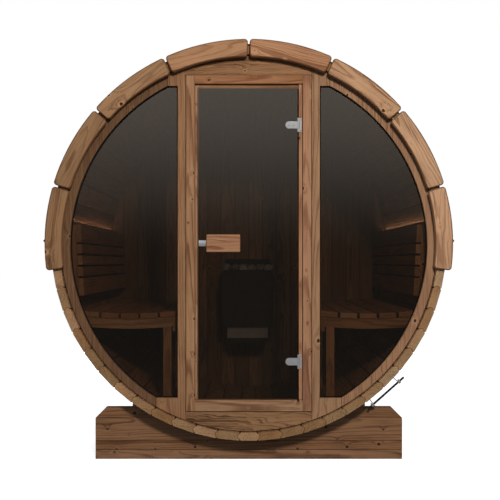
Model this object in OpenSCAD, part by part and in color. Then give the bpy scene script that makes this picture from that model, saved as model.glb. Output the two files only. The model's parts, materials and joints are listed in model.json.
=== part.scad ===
// Barrel sauna: a horizontal barrel of bead-and-cove staves on two cradles,
// closed by a glazed front wall with a hinged glass door and by a board back
// wall, with two benches, backrests and a wall-hung heater inside.
// The origin is on the ground, below the middle of the barrel. X runs across
// the front to the right, Y runs into the barrel and Z is up. Profiles are
// drawn looking at the front, about the axis of the barrel.

/* [Barrel] */
// Outer diameter across the flat faces of the staves
barrel_d = 2000; // [1900:10:2400]
// Length over the two fascia rings
barrel_l = 1800; // [1500:10:2200]
// Height of the lowest stave above the ground
ground_gap = 119; // [90:1:150]
// Thickness of a stave
stave_t = 42; // [35:1:50]
// Full staves in each quarter of the ring
staves_per_quarter = 13; // [11:1:15]
// Width of the top and bottom closing staves, as a share of a full one
key_share = 0.786; // [0.6:0.002:0.95]
// How far the bead of a stave stands out of its edge
bead_h = 11; // [7:0.5:13]
// Width of the flat shoulder beside the bead
shoulder = 6.5; // [6:0.5:9]
// Chamfer on the long edges of a stave
stave_chamfer = 5; // [2:0.5:5.5]
// Depth of the groove in the staves that holds the end walls
croze_depth = 10; // [6:1:14]

/* [Roof] */
// Thickness of the roofing felt over the upper half
felt_t = 4; // [2:0.5:6]
// Thickness of the sheet of the drip edges
drip_t = 2; // [1:0.5:3]
// How far a drip edge stands out beyond the felt
drip_out = 33; // [20:1:45]

/* [Fascia] */
// Thickness of the fascia boards
fascia_t = 28; // [20:1:40]
// Radial width of the fascia boards
fascia_w = 90; // [70:1:120]
// How far the fascia stands out beyond the staves
fascia_over = 28.5; // [15:0.5:40]
// Boards in each half of the fascia
fascia_boards = 4; // [3:1:6]
// Angle from the top at which the fascia ends
fascia_end = 98; // [80:1:110]
// Open joint between two fascia boards
fascia_joint = 9; // [4:1:14]
// Radius on the corners of a fascia board
fascia_corner = 17; // [6:1:25]

/* [End walls] */
// Distance from the stave ends back to the end walls
wall_recess = 30; // [20:1:60]
// Thickness of the end walls
wall_t = 45; // [36:1:60]
// Width of the rim between a side glass and the staves
rim_w = 48; // [35:1:70]
// How far the arc of the side glasses sits below the axis
glass_drop = 9; // [0:1:15]
// Height of the flat top of a side glass above the axis
glass_top = 802; // [650:1:830]
// Depth of the flat bottom of a side glass below the axis
glass_bottom = 787; // [650:1:830]
// Width of the wall posts beside the door
post_w = 43; // [35:1:70]
// Thickness of the side glasses
glass_t = 8; // [6:1:10]
// Depth to which a side glass enters its groove
glass_bite = 8; // [5:1:12]
// Boards in the back wall
back_boards = 20; // [16:2:24]

/* [Door] */
// Width of the door frame
frame_w = 638; // [560:1:760]
// Height of the door frame
frame_h = 1710; // [1500:1:1740]
// Width of a jamb
jamb_w = 44; // [36:1:60]
// Height of the frame's head
head_h = 43; // [36:1:60]
// Height of the frame's sill
sill_h = 57; // [45:1:75]
// How far the frame stands out of the front wall
frame_proud = 8; // [2:1:14]
// Thickness of the glass leaf
leaf_t = 8; // [6:1:10]
// Distance from the frame's front back to the glass leaf
leaf_inset = 12; // [8:1:16]
// Gap above the leaf, where the stop shows
leaf_top_gap = 17; // [8:1:24]
// Gap at the latch side of the leaf, where the stop shows
leaf_latch_gap = 14; // [8:1:20]
// Width of the strip that carries the hinges
strip_w = 20; // [18:1:30]
// Height of the hinges above and below the axis
hinge_z = 603; // [450:1:680]
// Height of a hinge plate
hinge_plate_h = 72; // [56:1:90]
// Length of a hinge clip along the glass
clip_l = 62; // [45:1:80]
// Height of a hinge clip
clip_h = 37; // [28:1:44]
// Thickness of each cheek of a hinge clip
clip_t = 5; // [3:0.5:7]
// Width of the wooden handle
handle_w = 172; // [120:1:220]
// Height of the wooden handle
handle_h = 90; // [60:1:120]
// Thickness of the wooden handle
handle_t = 28; // [18:1:34]
// Distance from the latch edge of the leaf to the handle
handle_inset = 46; // [40:1:80]

/* [Cradles] */
// Width of a cradle
cradle_w = 1594; // [1300:1:1800]
// Height of a cradle
cradle_h = 269; // [230:1:330]
// Thickness of a cradle along the barrel
cradle_t = 45; // [40:1:140]
// Distance from the front of the barrel back to a cradle
cradle_inset = 150; // [120:1:300]
// Cut on the upper outer corners of a cradle
cradle_cut = 55; // [20:1:80]

/* [Bands] */
// Width of a tension band
band_w = 20; // [12:1:30]
// Thickness of a tension band
band_t = 1.5; // [1:0.5:3]
// Distance from the front of the barrel back to the band
band_inset = 104; // [85:1:140]
// Angle from the top at which the tension rod sits
rod_angle = 137.5; // [125:0.5:140]
// Angle between the two lugs of the tension rod
lug_spread = 9; // [7:0.1:12]
// Height of the lugs above the strap
lug_h = 58; // [40:1:70]
// Diameter of the tension rod
rod_d = 10; // [6:1:12]

/* [Benches] */
// Distance from the axis to the aisle side of a bench
bench_in = 374; // [340:1:430]
// Space between the outer edge of the seat and the staves
bench_wall_gap = 26.5; // [22:0.5:60]
// Depth of the middle of the seat below the axis
seat_z = 362; // [300:1:420]
// How much lower the middle of the seat is than its edges
seat_dish = 14; // [6:1:24]
// Slats in a seat
seat_slats = 5; // [4:1:6]
// Thickness of a seat slat
slat_t = 28; // [20:1:35]
// Gap between seat slats
slat_gap = 12; // [6:1:20]
// Thickness of the rail along the aisle
rail_t = 21; // [18:1:30]
// Height of the rail along the aisle
rail_h = 80; // [60:1:110]
// Height of a bearer under the seat
bearer_h = 52; // [36:1:70]
// Thickness of bearers and battens along the barrel
bearer_t = 42; // [30:1:60]
// Width of a leg
leg_w = 43; // [36:1:60]
// Distance from the rail to a leg
leg_inset = 7; // [2:1:30]
// Space between the end walls and the benches
bench_end_gap = 40; // [20:1:80]

/* [Backrests] */
// Thickness of a backrest slat
back_t = 27; // [20:1:32]
// Distance from the staves to the front of the backrest, at its top
back_wall_gap = 79; // [60:1:110]
// Lean of the backrest, with its foot towards the aisle
back_lean = 3; // [0:0.1:5]
// Height of the narrow backrest slats
back_narrow = 49; // [40:1:60]
// Height of the top and bottom backrest slats
back_wide = 91; // [70:1:100]
// Gap between backrest slats
back_gap = 10; // [6:1:14]
// Height of the top of the backrest above the axis
back_top = 99; // [80:1:110]
// Number of narrow slats between the wide ones
back_narrows = 3; // [2:1:3]

/* [Heater] */
// Width of the heater
heater_w = 355; // [300:1:420]
// Depth of the heater
heater_d = 290; // [220:1:340]
// Height of the heater's casing
heater_h = 483; // [400:1:560]
// Height of the heater's lower edge below the axis
heater_z = 631; // [560:1:680]
// Height of the base below the casing
heater_base_h = 106; // [80:1:140]
// Distance of the heater to the right of the axis
heater_x = -8; // [-60:1:60]
// Space between the heater and the back wall
heater_gap = 30; // [20:1:60]
// Thickness of the heater's casing
heater_wall = 4; // [2:1:6]
// How far the stones rise above the casing
stone_rise = 50; // [30:1:70]

/* [Hidden] */
$fn = 180;
// Gap between pieces of wood that meet
fit = 0.4;
// Gap between the faces of a wall and the sides of its groove
seat_gap = 0.3;
// Clearance between a strap or a sheet and what it lies on
lay_gap = 0.3;
// Clearance around a moving piece
run_gap = 5;
// Clearance between two knuckles of a hinge
knuckle_gap = 0.5;
// Clearance between a hinge pin and its bore
pin_gap = 0.3;
// Length that reaches beyond everything
far = 3 * barrel_d;

r_out = barrel_d / 2;
r_in = r_out - stave_t;
axis_h = ground_gap + r_out;
pitch = 360 / (4 * staves_per_quarter + 2 * key_share);
key_pitch = key_share * pitch;
bead_chord = stave_t - 2 * shoulder;
bead_r = (bead_chord * bead_chord / 4 + bead_h * bead_h) / (2 * bead_h);
r_corner = r_out / cos(pitch / 2);

stave_l = barrel_l - 2 * fascia_t;
front_y = -barrel_l / 2;
stave_y = -stave_l / 2;
wall_y = stave_y + wall_recess;
inner_y = wall_y + wall_t;
croze_gap = 2;
wall_r = r_in + croze_depth - croze_gap;
side_staves = 2 * staves_per_quarter;
crown_side = 4;

band_r = r_corner + lay_gap;
felt_r = band_r + band_t + lay_gap;
drip_r = felt_r + felt_t + lay_gap;

fascia_ro = r_out + fascia_over;
fascia_ri = fascia_ro - fascia_w;
fascia_step = fascia_end / fascia_boards;

post_in = frame_w / 2 + fit;
post_out = post_in + post_w;
glass_r = r_in - rim_w;
corner_top = sqrt(glass_r * glass_r - pow(glass_top + glass_drop, 2));
corner_bottom = sqrt(glass_r * glass_r - pow(glass_bottom - glass_drop, 2));
glass_y = wall_y + (wall_t - glass_t) / 2;

frame_y = wall_y - frame_proud;
leaf_y = frame_y + leaf_inset;
clear_l = -frame_w / 2 + jamb_w;
clear_r = frame_w / 2 - jamb_w;
clear_top = frame_h / 2 - head_h;
clear_bottom = -frame_h / 2 + sill_h;
strip_x = clear_r - strip_w;
leaf_l = clear_l + leaf_latch_gap;
leaf_r = strip_x - run_gap - 1;
strip_y = leaf_y + 2;
leaf_top = clear_top - leaf_top_gap;
leaf_bottom = clear_bottom + run_gap;
stop_y = leaf_y + leaf_t + run_gap;
pin_r = 2.5;
knuckle_r = 5;
knuckle_h = (hinge_plate_h - clip_h) / 2 - knuckle_gap;
pin_offset = 3;
pin_x = leaf_r + pin_offset;
pin_y = leaf_y - knuckle_r;
handle_x = leaf_l + handle_inset;
latch_h = 30;
latch_t = 12;

board_w = 2 * wall_r / back_boards;
side_boards = floor(back_boards * 0.3);

bench_out = sqrt(r_in * r_in - pow(seat_z - seat_dish, 2)) - bench_wall_gap;
seat_mid = (bench_in + bench_out) / 2;
seat_half = (bench_out - bench_in) / 2;
seat_r = seat_half * seat_half / (2 * seat_dish);
slat_pitch = (bench_out - bench_in + slat_gap) / seat_slats;
slat_w = slat_pitch - slat_gap;
bearer_gap = 0.1;
bearer_r = sqrt(pow(seat_r + slat_t, 2) + slat_w * slat_w / 4) + bearer_gap;
arc_fn = 4 * ceil(bearer_r / 6);
bench_back_gap = 8;
bench_y0 = inner_y + bench_end_gap;
bench_y1 = -inner_y - bench_back_gap;
first_bearer = 6;
last_bearer = 60;
bearer_ys = [bench_y0 + first_bearer, -bearer_t / 2, bench_y1 - last_bearer - bearer_t];
room_r = r_in - lay_gap;
back_x = sqrt(r_in * r_in - back_top * back_top) - back_wall_gap;
slat_heights = concat([back_wide], [for (i = [1 : back_narrows]) back_narrow], [back_wide]);

heater_y1 = -inner_y - heater_gap;
heater_y0 = heater_y1 - heater_d;
base_z = -heater_z + heater_base_h;
casing_top = -heater_z + heater_h;
panel_half = heater_w * 0.38;
panel_h = 73;
panel_t = 3;
base_inset = 24;

stave_brown = [0.55, 0.42, 0.28];
wall_brown = [0.56, 0.43, 0.30];
fascia_brown = [0.63, 0.45, 0.31];
bench_brown = [0.48, 0.34, 0.22];
felt_black = [0.09, 0.09, 0.09];
smoked = [0.15, 0.13, 0.12, 0.55];
steel = [0.75, 0.75, 0.76];

// ---- helpers ----

// A profile drawn about the barrel's axis, extruded from y0 to y1
module slab(y0, y1) {
    translate([0, y1, axis_h])
        rotate([90, 0, 0])
            linear_extrude(height = y1 - y0) children();
}

// The same piece on the other end of the barrel
module other_end() {
    mirror([0, 1, 0]) children();
}

// The same piece on the left-hand side
module other_side() {
    mirror([1, 0, 0]) children();
}

// A flat box given by its two corners in a profile
module plate(x0, z0, x1, z1) {
    translate([x0, z0]) square([x1 - x0, z1 - z0]);
}

// Part of a ring between two angles from the top, at most half a turn
module ring_part(ri, ro, a0, a1) {
    steps = 6;
    rim = [for (k = [0 : steps]) a0 + (a1 - a0) * k / steps];
    intersection() {
        difference() {
            circle(r = ro);
            circle(r = ri);
        }
        polygon(concat([[0, 0]], [for (a = rim) far * [sin(a), cos(a)]]));
    }
}

// ---- staves ----

// A stave with a bead on its left edge and a cove on its right edge, or the
// same on both edges
module stave_profile(angle, left_bead = true, right_bead = false) {
    half = angle / 2;
    r_mid = (r_out + r_in) / 2;
    back = bead_r - bead_h;
    c = stave_chamfer;
    side = function (y) y * tan(half) - fit / 2;
    difference() {
        union() {
            polygon([
                [-side(r_in) + c, r_in], [side(r_in) - c, r_in],
                [side(r_in + c), r_in + c], [side(r_out - c), r_out - c],
                [side(r_out) - c, r_out], [-side(r_out) + c, r_out],
                [-side(r_out - c), r_out - c], [-side(r_in + c), r_in + c]
            ]);
            if (left_bead) rotate(half) translate([back, r_mid]) circle(r = bead_r);
            if (right_bead) rotate(-half) translate([-back, r_mid]) circle(r = bead_r);
        }
        if (!left_bead) rotate(half) translate([-back, r_mid]) circle(r = bead_r + fit);
        if (!right_bead) rotate(-half) translate([back, r_mid]) circle(r = bead_r + fit);
    }
}

// One stave at an angle from the top, with its grooves for the end walls
module stave(a, angle, left_bead = true, right_bead = false) {
    groove_half = r_in * tan(angle / 2) + bead_h;
    difference() {
        slab(-stave_l / 2, stave_l / 2)
            rotate(-a) stave_profile(angle, left_bead, right_bead);
        for (end = [0, 1])
            mirror([0, end, 0])
                slab(wall_y - seat_gap, inner_y + seat_gap)
                    rotate(-a)
                        plate(-groove_half, r_in - 1, groove_half, r_in + croze_depth);
    }
}

// Staves first to last down the right-hand side, counted from the top
module stave_run(first, last) {
    for (i = [first : last])
        stave(key_pitch / 2 + (i + 0.5) * pitch, pitch);
}

module staves_crown() {
    color(stave_brown) {
        stave(0, key_pitch, false, false);
        stave_run(0, crown_side - 1);
        other_side() stave_run(0, crown_side - 1);
    }
}

module staves_upper_right() {
    color(stave_brown) stave_run(crown_side, staves_per_quarter - 1);
}

module staves_upper_left() {
    other_side() staves_upper_right();
}

module staves_lower_right() {
    color(stave_brown) stave_run(staves_per_quarter, side_staves - crown_side - 1);
}

module staves_lower_left() {
    other_side() staves_lower_right();
}

module staves_floor() {
    color(stave_brown) {
        stave(180, key_pitch, true, true);
        stave_run(side_staves - crown_side, side_staves - 1);
        other_side() stave_run(side_staves - crown_side, side_staves - 1);
    }
}

// ---- roof ----

module roof_cover() {
    color(felt_black)
        slab(-stave_l / 2, stave_l / 2)
            ring_part(felt_r, felt_r + felt_t, -90, 90);
}

// Bent sheet: a leg that follows the felt, a kick outwards and a fold back
module drip_edge_right() {
    leg_angle = 5;
    kick_z = 12;
    fold = 14;
    top = kick_z + drip_out;
    top_x = sqrt(drip_r * drip_r - top * top);
    tip = drip_r + drip_out;
    foot_a = acos(top / drip_r);
    slant = drip_t * sqrt(2);
    color(felt_black)
        slab(-stave_l / 2, stave_l / 2) {
            ring_part(drip_r, drip_r + drip_t, foot_a - leg_angle, foot_a + 0.1);
            polygon([
                [top_x, top], [tip - slant, kick_z], [tip - slant - fold, kick_z - fold],
                [tip - fold, kick_z - fold], [tip, kick_z], [top_x + drip_t, top + drip_t / 2]
            ]);
        }
}

module drip_edge_left() {
    other_side() drip_edge_right();
}

// ---- fascia ----

// What is cut away to round one corner, with its centre c and the outward
// directions n1 and n2 of the two edges
module corner_cut(c, n1, n2, r) {
    reach = 1.7 * r;
    difference() {
        polygon([c, c + reach * n1, c + reach * (n1 + n2), c + reach * n2]);
        translate(c) circle(r = r);
    }
}

// A fascia board standing upright at the top of the ring
module fascia_profile() {
    half = fascia_step / 2;
    inset = fascia_joint / 2;
    apex = inset / sin(half);
    rc = fascia_corner;
    outer_a = half - asin((inset + rc) / (fascia_ro - rc));
    inner_a = half - asin((inset + rc) / (fascia_ri + rc));
    outer_c = (fascia_ro - rc) * [sin(outer_a), cos(outer_a)];
    inner_c = (fascia_ri + rc) * [sin(inner_a), cos(inner_a)];
    edge = [cos(half), -sin(half)];
    spread = (far - apex) * tan(half);
    difference() {
        intersection() {
            difference() {
                circle(r = fascia_ro);
                circle(r = fascia_ri);
            }
            polygon([[0, apex], [spread, far], [-spread, far]]);
        }
        for (side = [0, 1])
            mirror([side, 0]) {
                corner_cut(outer_c, edge, [sin(outer_a), cos(outer_a)], rc);
                corner_cut(inner_c, edge, -[sin(inner_a), cos(inner_a)], rc);
            }
    }
}

module front_fascia() {
    color(fascia_brown)
        for (i = [-fascia_boards : fascia_boards - 1])
            slab(front_y, front_y + fascia_t)
                rotate(-(i + 0.5) * fascia_step) fascia_profile();
}

module back_fascia() {
    other_end() front_fascia();
}

// ---- front wall ----

module front_slab() {
    slab(wall_y, inner_y) children();
}

// The opening of the right-hand side glass, grown all round
module pane_profile(grow) {
    intersection() {
        translate([0, -glass_drop]) circle(r = glass_r + grow);
        plate(post_out - grow, -glass_bottom - grow, far, glass_top + grow);
    }
}

module pane_groove() {
    slab(glass_y - seat_gap, glass_y + glass_t + seat_gap)
        pane_profile(glass_bite + fit);
}

module wall_header() {
    color(wall_brown)
        front_slab()
            intersection() {
                circle(r = wall_r);
                plate(-post_in + fit, frame_h / 2 + fit, post_in - fit, far);
            }
}

module wall_base() {
    color(wall_brown)
        front_slab()
            intersection() {
                circle(r = wall_r);
                plate(-post_in + fit, -far, post_in - fit, -frame_h / 2 - fit);
            }
}

// A post, with the corner blocks above and below the side glass
module wall_post_right() {
    color(wall_brown)
        difference() {
            front_slab()
                intersection() {
                    circle(r = wall_r);
                    union() {
                        plate(post_in, -far, post_out, far);
                        plate(post_in, glass_top, corner_top, far);
                        plate(post_in, -far, corner_bottom, -glass_bottom);
                    }
                }
            pane_groove();
        }
}

module wall_post_left() {
    other_side() wall_post_right();
}

// The curved rim between a side glass and the staves
module wall_rim_right() {
    color(wall_brown)
        difference() {
            front_slab()
                difference() {
                    circle(r = wall_r);
                    plate(-far, 0, corner_top + fit, far);
                    plate(-far, -far, corner_bottom + fit, 1);
                    pane_profile(0);
                }
            pane_groove();
        }
}

module wall_rim_left() {
    other_side() wall_rim_right();
}

module side_glass_right() {
    color(smoked) slab(glass_y, glass_y + glass_t) pane_profile(glass_bite);
}

module side_glass_left() {
    other_side() side_glass_right();
}

// ---- door ----

module door_frame() {
    half_w = frame_w / 2;
    half_h = frame_h / 2;
    color(fascia_brown)
        slab(frame_y, inner_y) {
            plate(-half_w, -half_h, clear_l, half_h);
            plate(clear_r, -half_h, half_w, half_h);
            plate(clear_l + fit, clear_top, clear_r - fit, half_h);
            plate(clear_l + fit, -half_h, clear_r - fit, clear_bottom);
        }
}

// The stops behind the leaf, and the strip that carries the hinges
module door_stops() {
    overlap = 9;
    color(fascia_brown) {
        slab(stop_y, inner_y) {
            plate(clear_l + fit, clear_bottom + fit, leaf_l + overlap, clear_top - fit);
            plate(leaf_l + overlap + fit, leaf_top - overlap, strip_x - fit, clear_top - fit);
        }
        slab(strip_y, inner_y)
            plate(strip_x, clear_bottom + fit, clear_r - fit, clear_top - fit);
    }
}

// Plate, two knuckles and pin of one hinge, at height z
module hinge_fixed(z) {
    half = hinge_plate_h / 2;
    plate_t = 3;
    plate_w = strip_w - 8;
    plate_x = pin_x + knuckle_r + 1;
    plate_y = strip_y - plate_t;
    union() {
        translate([plate_x, plate_y, axis_h + z - half])
            cube([plate_w, plate_t, hinge_plate_h]);
        for (z0 = [z - half, z + half - knuckle_h]) {
            translate([pin_x, pin_y, axis_h + z0]) cylinder(r = knuckle_r, h = knuckle_h);
            translate([pin_x, plate_y, axis_h + z0])
                cube([plate_x - pin_x + 1, plate_t, knuckle_h]);
        }
        translate([pin_x, pin_y, axis_h + z - half]) cylinder(r = pin_r, h = hinge_plate_h);
    }
}

module hinge_plates() {
    color(steel) {
        hinge_fixed(hinge_z);
        hinge_fixed(-hinge_z);
    }
}

// The clip that holds the glass: two cheeks with a round end, a bridge round
// the edge of the glass and the middle knuckle of the hinge
module hinge_clip(z) {
    round_r = clip_h / 2;
    bridge_t = 2;
    color(steel)
        difference() {
            union() {
                for (y0 = [leaf_y - clip_t, leaf_y + leaf_t])
                    slab(y0, y0 + clip_t)
                        translate([0, z]) {
                            translate([leaf_r - clip_l + round_r, 0]) circle(r = round_r);
                            plate(leaf_r - clip_l + round_r, -round_r, leaf_r, round_r);
                        }
                translate([leaf_r, leaf_y - clip_t, axis_h + z - round_r])
                    cube([bridge_t, leaf_t + 2 * clip_t, clip_h]);
                translate([pin_x, pin_y, axis_h + z - round_r])
                    cylinder(r = knuckle_r, h = clip_h);
            }
            translate([pin_x, pin_y, axis_h + z - round_r - 1])
                cylinder(r = pin_r + pin_gap, h = clip_h + 2);
        }
}

module hinge_top() {
    hinge_clip(hinge_z);
}

module hinge_bottom() {
    hinge_clip(-hinge_z);
}

module door_glass() {
    color(smoked) slab(leaf_y, leaf_y + leaf_t) plate(leaf_l, leaf_bottom, leaf_r, leaf_top);
}

// A wooden grip on each face of the glass, each on two round feet
module door_handle() {
    foot_h = 10;
    foot_r = 11;
    foot_spread = handle_w / 4;
    color(fascia_brown)
        for (y0 = [leaf_y - foot_h - handle_t, leaf_y + leaf_t + foot_h]) {
            foot_y = y0 < leaf_y ? leaf_y - foot_h : leaf_y + leaf_t;
            union() {
                slab(y0, y0 + handle_t)
                    plate(handle_x, -handle_h / 2, handle_x + handle_w, handle_h / 2);
                slab(foot_y, foot_y + foot_h)
                    for (side = [-1, 1])
                        translate([handle_x + handle_w / 2 + side * foot_spread, 0])
                            circle(r = foot_r);
            }
        }
}

module door_latch() {
    color(steel)
        slab(leaf_y - latch_t, leaf_y)
            plate(leaf_l + 6, -latch_h / 2, handle_x - fit, latch_h / 2);
}

// ---- back wall ----

// A board seen from above, with a tongue on its right edge and a groove on
// its left edge
module board_profile(w) {
    t0 = inner_y;
    t1 = wall_y;
    c = 4;
    tongue = 6;
    lip = wall_t / 2 - 5;
    polygon([
        [fit, t0 - c], [fit + c, t0], [w - c, t0], [w, t0 - c],
        [w, t0 - lip], [w + tongue, t0 - lip], [w + tongue, t1 + lip], [w, t1 + lip],
        [w, t1 + c], [w - c, t1], [fit + c, t1], [fit, t1 + c],
        [fit, t1 + lip - fit], [fit + tongue, t1 + lip - fit],
        [fit + tongue, t0 - lip + fit], [fit, t0 - lip + fit]
    ]);
}

// Boards first to last of the back wall, counted from the left
module board_run(first, last) {
    color(wall_brown)
        other_end()
            for (i = [first : last])
                intersection() {
                    slab(wall_y, inner_y) circle(r = wall_r);
                    translate([-wall_r + i * board_w, 0, 0])
                        linear_extrude(height = 2 * axis_h) board_profile(board_w);
                }
}

module back_wall_left() {
    board_run(0, side_boards - 1);
}

module back_wall_middle() {
    board_run(side_boards, back_boards - side_boards - 1);
}

module back_wall_right() {
    board_run(back_boards - side_boards, back_boards - 1);
}

// ---- cradles ----

// A cradle glued up from four layers, with its seat for the barrel
module cradle_front() {
    layer_tops = [0, 0.18, 0.363, 0.806, 1] * cradle_h;
    cradle_y = front_y + cradle_inset;
    half = cradle_w / 2;
    color(bench_brown)
        for (i = [0 : len(layer_tops) - 2])
            slab(cradle_y, cradle_y + cradle_t)
                difference() {
                    intersection() {
                        translate([0, -axis_h])
                            polygon([
                                [-half, 0], [half, 0], [half, cradle_h - cradle_cut],
                                [half - cradle_cut, cradle_h], [cradle_cut - half, cradle_h],
                                [-half, cradle_h - cradle_cut]
                            ]);
                        plate(-half, layer_tops[i] - axis_h + (i > 0 ? fit : 0),
                            half, layer_tops[i + 1] - axis_h);
                    }
                    circle(r = r_corner + lay_gap);
                }
}

module cradle_back() {
    other_end() cradle_front();
}

// ---- tension bands ----

// Places what is drawn with X along the ring and Z outwards at an angle
module on_ring(a, y) {
    translate([0, y, axis_h]) rotate([0, a, 0]) children();
}

// A steel strap round the staves with two bent lugs, and the threaded rod
// with its nuts that draws them together
module band_front() {
    band_y = front_y + band_inset;
    lug_t = 4;
    lug_back = 1;
    lug_half = lug_spread / 2;
    rod_drop = 14;
    rod_out = band_r + lug_h - rod_drop;
    nut_r = rod_d;
    nut_t = 0.8 * rod_d;
    nut_gap = 0.2;
    nut_x = (rod_out + nut_r) * tan(lug_half) + (lug_back + lug_t) / cos(lug_half) + nut_gap;
    rod_tail = 36;
    rod_end = nut_x + rod_tail;
    color(steel) {
        difference() {
            slab(band_y, band_y + band_w) {
                difference() {
                    circle(r = band_r + band_t);
                    circle(r = band_r);
                    rotate(-rod_angle)
                        polygon([[0, 0], far * [-tan(lug_half), 1], far * [tan(lug_half), 1]]);
                }
                rotate(-rod_angle - lug_half)
                    plate(lug_back, band_r + band_t / 2, lug_back + lug_t, band_r + lug_h);
                rotate(-rod_angle + lug_half)
                    plate(-lug_back - lug_t, band_r + band_t / 2, -lug_back, band_r + lug_h);
            }
            on_ring(rod_angle, band_y + band_w / 2)
                translate([-rod_end, 0, rod_out])
                    rotate([0, 90, 0]) cylinder(d = rod_d + 2 * fit, h = 2 * rod_end);
        }
        on_ring(rod_angle, band_y + band_w / 2)
            translate([0, 0, rod_out])
                rotate([0, 90, 0])
                    union() {
                        translate([0, 0, -rod_end]) cylinder(d = rod_d, h = 2 * rod_end);
                        for (z0 = [-nut_x - nut_t, nut_x])
                            translate([0, 0, z0]) cylinder(r = nut_r, h = nut_t, $fn = 6);
                    }
    }
}

// The rear strap has its rod on the same side
module band_back() {
    other_end() band_front();
}

// ---- benches ----

// Places what is drawn about the centre of the seat's arc, on the right
module on_seat() {
    translate([seat_mid, seat_r - seat_z]) children();
}

function slat_turn(i) = asin((i - (seat_slats - 1) / 2) * slat_pitch / seat_r);

module bench_seat_right() {
    color(bench_brown)
        slab(bench_y0, bench_y1)
            for (i = [0 : seat_slats - 1])
                on_seat()
                    rotate(slat_turn(i))
                        plate(-slat_w / 2, -seat_r - slat_t, slat_w / 2, -seat_r);
}

module bench_seat_left() {
    other_side() bench_seat_right();
}

// The rail along the aisle, with three curved bearers and three legs
module bench_frame_right() {
    leg_x = bench_in + rail_t + leg_inset;
    rail_low = -(seat_z - seat_dish) - slat_t - rail_h;
    color(bench_brown) {
        slab(bench_y0, bench_y1)
            difference() {
                plate(bench_in, rail_low, bench_in + rail_t, -seat_z + seat_dish);
                on_seat()
                    rotate(slat_turn(0))
                        plate(-slat_w, -seat_r - slat_t - seat_gap, slat_w, 0);
            }
        for (y0 = bearer_ys)
            slab(y0, y0 + bearer_t) {
                intersection() {
                    on_seat()
                        difference() {
                            circle(r = bearer_r + bearer_h, $fn = arc_fn);
                            circle(r = bearer_r, $fn = arc_fn);
                        }
                    plate(bench_in + rail_t + fit, -far, bench_out, 0);
                    circle(r = room_r);
                }
                difference() {
                    intersection() {
                        plate(leg_x, -far, leg_x + leg_w, 0);
                        circle(r = room_r);
                    }
                    on_seat() circle(r = bearer_r + bearer_h + seat_gap, $fn = arc_fn);
                }
            }
    }
}

module bench_frame_left() {
    other_side() bench_frame_right();
}

// ---- backrests ----

module on_backrest() {
    translate([back_x, back_top]) rotate(-back_lean) children();
}

// Depth of the top of slat i below the top of the backrest
function slat_drop(i) = i == 0 ? 0 : slat_drop(i - 1) + slat_heights[i - 1] + back_gap;

// Slats along the barrel, on three battens that are shaped to the staves
module backrest_right() {
    last = len(slat_heights) - 1;
    color(bench_brown) {
        slab(bench_y0, bench_y1)
            on_backrest()
                for (i = [0 : last])
                    plate(0, -slat_drop(i) - slat_heights[i], back_t, -slat_drop(i));
        for (y0 = bearer_ys)
            slab(y0, y0 + bearer_t)
                intersection() {
                    on_backrest()
                        plate(back_t + seat_gap, -slat_drop(last) - back_wide, 4 * back_t, 0);
                    circle(r = room_r);
                }
    }
}

module backrest_left() {
    other_side() backrest_right();
}

// ---- heater ----

// Outline of the casing, drawn in from its outside by a distance
module casing_profile(inset, top) {
    foot_taper = 13;
    neck_taper = 22;
    shoulder_h = 50;
    half = heater_w / 2 - inset;
    foot = half - foot_taper;
    neck = half - neck_taper;
    hip_z = casing_top - shoulder_h;
    polygon([
        [-foot, base_z + inset], [foot, base_z + inset], [half, hip_z],
        [neck, casing_top], [neck, top], [-neck, top], [-neck, casing_top], [-half, hip_z]
    ]);
}

// An open casing with its base, its back plate and two rails to the wall
module heater_casing() {
    rail_w = 30;
    rail_inset = 40;
    plate_rise = 74;
    plate_half = panel_half + 20;
    foot_half = panel_half * 0.8;
    color("dimgray")
        translate([heater_x, 0, 0])
            union() {
                difference() {
                    slab(heater_y0, heater_y1) casing_profile(0, casing_top + 0.01);
                    slab(heater_y0 + heater_wall, heater_y1 - heater_wall)
                        casing_profile(heater_wall, casing_top + 1);
                }
                slab(heater_y1 - heater_wall, heater_y1)
                    plate(-plate_half, base_z + 1, plate_half, casing_top + plate_rise);
                slab(heater_y0 + base_inset, heater_y1) {
                    plate(-panel_half, base_z - panel_h, panel_half, base_z + 1);
                    plate(-foot_half, -heater_z, foot_half, base_z - panel_h + 1);
                }
                for (x0 = [-panel_half, panel_half - rail_w])
                    slab(heater_y1 - 1, -inner_y - 0.2)
                        plate(x0, base_z + rail_inset, x0 + rail_w, casing_top - rail_inset);
            }
}

// The pile of stones, as one body that rises out of the casing
module heater_stones() {
    inset = heater_wall + fit;
    stone_depth = 160;
    pile_top = casing_top + stone_rise;
    color("darkgray")
        translate([heater_x, 0, 0])
            slab(heater_y0 + inset, heater_y1 - inset)
                intersection() {
                    casing_profile(inset, pile_top + 1);
                    plate(-heater_w, casing_top - stone_depth, heater_w, pile_top);
                }
}

module heater_panel() {
    panel_y = heater_y0 + base_inset - fit / 2;
    color(steel)
        translate([heater_x, 0, 0])
            slab(panel_y - panel_t, panel_y)
                plate(-panel_half, base_z - panel_h, panel_half, base_z - 1);
}

staves_floor();
staves_lower_left();
staves_lower_right();
staves_upper_left();
staves_upper_right();
staves_crown();
roof_cover();
drip_edge_left();
drip_edge_right();
front_fascia();
back_fascia();
wall_header();
wall_base();
wall_post_left();
wall_post_right();
wall_rim_left();
wall_rim_right();
side_glass_left();
side_glass_right();
door_frame();
door_stops();
hinge_plates();
door_glass();
hinge_top();
hinge_bottom();
door_handle();
door_latch();
back_wall_left();
back_wall_middle();
back_wall_right();
cradle_front();
cradle_back();
band_front();
band_back();
bench_seat_left();
bench_seat_right();
bench_frame_left();
bench_frame_right();
backrest_left();
backrest_right();
heater_casing();
heater_stones();
heater_panel();
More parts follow.
